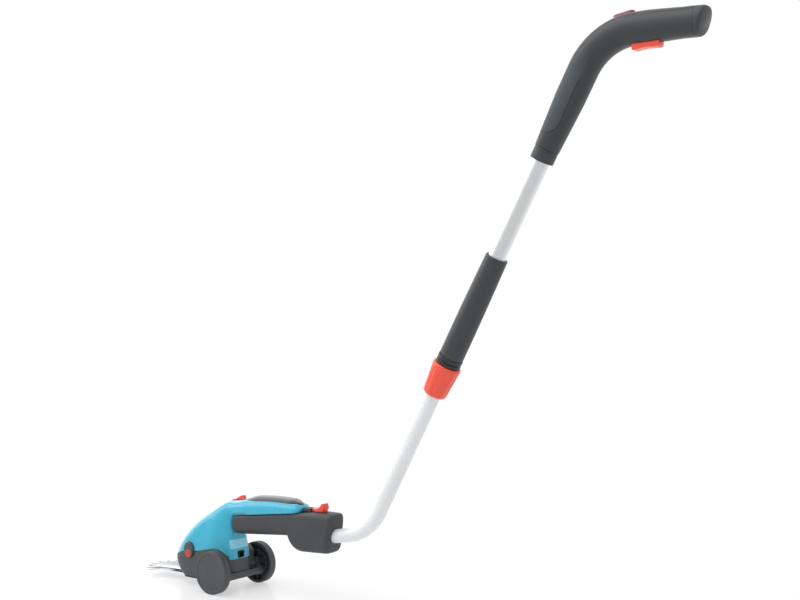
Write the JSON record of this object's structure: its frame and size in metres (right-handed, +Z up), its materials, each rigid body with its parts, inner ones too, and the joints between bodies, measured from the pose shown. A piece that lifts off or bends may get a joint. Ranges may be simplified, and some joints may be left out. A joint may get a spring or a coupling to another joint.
{
  "type": "cordless grass shears with wheels and telescopic handle",
  "caption": "Cordless grass shears: rounded battery head with comb blades on a wheeled carrier, joined by an adapter to a bent telescopic tube with a clamp nut and a cranked trigger grip.",
  "frame": {"origin": "point on the ground midway between the wheels, straight below their axis", "axes": "+X back towards the handle, +Y to the user's left along the wheel axis, +Z up"},
  "size_m": [1.0396, 0.1204, 0.866],
  "materials": {
    "body_shell": "smooth turquoise moulding with a soft sheen",
    "dark_casing": "fine-grained dark grey moulding",
    "wheel_plastic": "dark grey moulding",
    "soft_grip": "soft dull grey cover",
    "orange_control": "orange-red moulding with a soft sheen",
    "black_plastic": "black moulding",
    "steel": "plain steel",
    "blade_steel": "ground blade steel",
    "gear_brass": "cut brass",
    "cell_can": null,
    "board": "glass-fibre board",
    "white_tube": "white painted tube",
    "silver_tube": "satin anodised tube"
  },
  "bodies": {
    "shears": {"housing_left": "body_shell", "housing_right": "body_shell", "base_housing": "dark_casing", "sole_plate": "black_plastic", "top_pad": "soft_grip", "head_trigger_pin": "steel", "head_switch": "black_plastic", "charging_socket": "black_plastic", "battery_cells": "cell_can", "circuit_board": "board", "motor": "steel", "gear_plate": "black_plastic", "lower_blade": "blade_steel", "blade_pivot": "steel", "housing_screws": "steel", "sole_screws": "steel", "wheel_carrier": "dark_casing", "axle_left": "steel", "axle_right": "steel", "adapter_left": "dark_casing", "adapter_right": "dark_casing", "contact_block": "black_plastic", "adapter_screws": "steel", "lower_tube": "white_tube", "tube_bush": "black_plastic"},
    "left_wheel": {"wheel_left": "wheel_plastic"},
    "right_wheel": {"wheel_right": "wheel_plastic"},
    "cutting_blade": {"upper_blade": "blade_steel"},
    "crank": {"crank_gear": "gear_brass"},
    "pinion": {"motor_pinion": "steel"},
    "left_release": {"release_button_left": "dark_casing", "release_disc_left": "orange_control"},
    "right_release": {"release_button_right": "dark_casing", "release_disc_right": "orange_control"},
    "lock_slide": {"switch_lock": "orange_control"},
    "head_lever": {"head_trigger": "dark_casing"},
    "latch_slide": {"adapter_latch": "orange_control"},
    "upper_handle": {"upper_tube": "silver_tube", "clamp_collet": "black_plastic", "clamp_ring": "black_plastic", "middle_grip": "dark_casing", "grip_collar": "dark_casing", "grip_left": "dark_casing", "grip_right": "dark_casing", "grip_front_panel": "soft_grip", "grip_top_pad": "soft_grip", "grip_end_cap": "soft_grip", "handle_trigger_pin": "steel", "handle_switch": "black_plastic", "grip_screws": "steel"},
    "nut": {"clamp_nut": "orange_control"},
    "handle_lever": {"handle_trigger": "orange_control"},
    "safety": {"safety_button": "orange_control"}
  },
  "joints": [
    {"name": "left_wheel_spin", "type": "hinge", "parent": "shears", "child": "left_wheel", "pos_m": [0, 0.0537, 0.035], "axis": [0, 1, 0], "continuous": true},
    {"name": "right_wheel_spin", "type": "hinge", "parent": "shears", "child": "right_wheel", "pos_m": [0, -0.0537, 0.035], "axis": [0, 1, 0], "continuous": true},
    {"name": "blade_swing", "type": "hinge", "parent": "shears", "child": "cutting_blade", "pos_m": [-0.095, 0, 0.0166], "axis": [0, 0, 1], "range_deg": [-7.33, 7.33]},
    {"name": "crank_spin", "type": "hinge", "parent": "shears", "child": "crank", "pos_m": [-0.06, 0, 0.025], "axis": [0, 0, 1], "range_deg": [-90, 90]},
    {"name": "pinion_spin", "type": "hinge", "parent": "shears", "child": "pinion", "pos_m": [-0.04, 0, 0.025], "axis": [0, 0, 1], "range_deg": [-540, 540]},
    {"name": "left_release_press", "type": "slide", "parent": "shears", "child": "left_release", "axis": [0, -1, 0], "range_m": [0, 0.0025], "stiffness_N_per_m": 500, "springref_m": -0.003},
    {"name": "right_release_press", "type": "slide", "parent": "shears", "child": "right_release", "axis": [0, 1, 0], "range_m": [0, 0.0025], "stiffness_N_per_m": 500, "springref_m": -0.003},
    {"name": "switch_lock_slide", "type": "slide", "parent": "shears", "child": "lock_slide", "axis": [-0.9806, 0, -0.1959], "range_m": [0, 0.004], "stiffness_N_per_m": 300, "springref_m": -0.003},
    {"name": "head_trigger_pull", "type": "hinge", "parent": "shears", "child": "head_lever", "pos_m": [0.108, 0, 0.14531], "axis": [0, 1, 0], "range_deg": [0, 3], "stiffness_Nm_per_rad": 0.5, "springref_deg": -5.73},
    {"name": "latch_pull", "type": "slide", "parent": "shears", "child": "latch_slide", "axis": [1, 0, 0], "range_m": [0, 0.006], "stiffness_N_per_m": 400, "springref_m": -0.004},
    {"name": "telescope", "type": "slide", "parent": "shears", "child": "upper_handle", "axis": [0.4818, 0, 0.8763], "range_m": [-0.18, 0.13]},
    {"name": "clamp_turn", "type": "hinge", "parent": "upper_handle", "child": "nut", "pos_m": [0.40826, 0, 0.34512], "axis": [0.4818, 0, 0.8763], "range_deg": [0, 180]},
    {"name": "handle_trigger_pull", "type": "hinge", "parent": "upper_handle", "child": "handle_lever", "pos_m": [0.73436, 0, 0.82538], "axis": [0, -1, 0], "range_deg": [0, 6], "stiffness_Nm_per_rad": 0.5, "springref_deg": -5.73},
    {"name": "safety_press", "type": "slide", "parent": "upper_handle", "child": "safety", "axis": [0.1455, 0, -0.9894], "range_m": [0, 0.003], "stiffness_N_per_m": 500, "springref_m": -0.003}
  ],
  "couplings": [
    {"joint": "blade_swing", "follows": "crank_spin", "ratio": 0.081433},
    {"joint": "pinion_spin", "follows": "crank_spin", "ratio": -4}
  ]
}
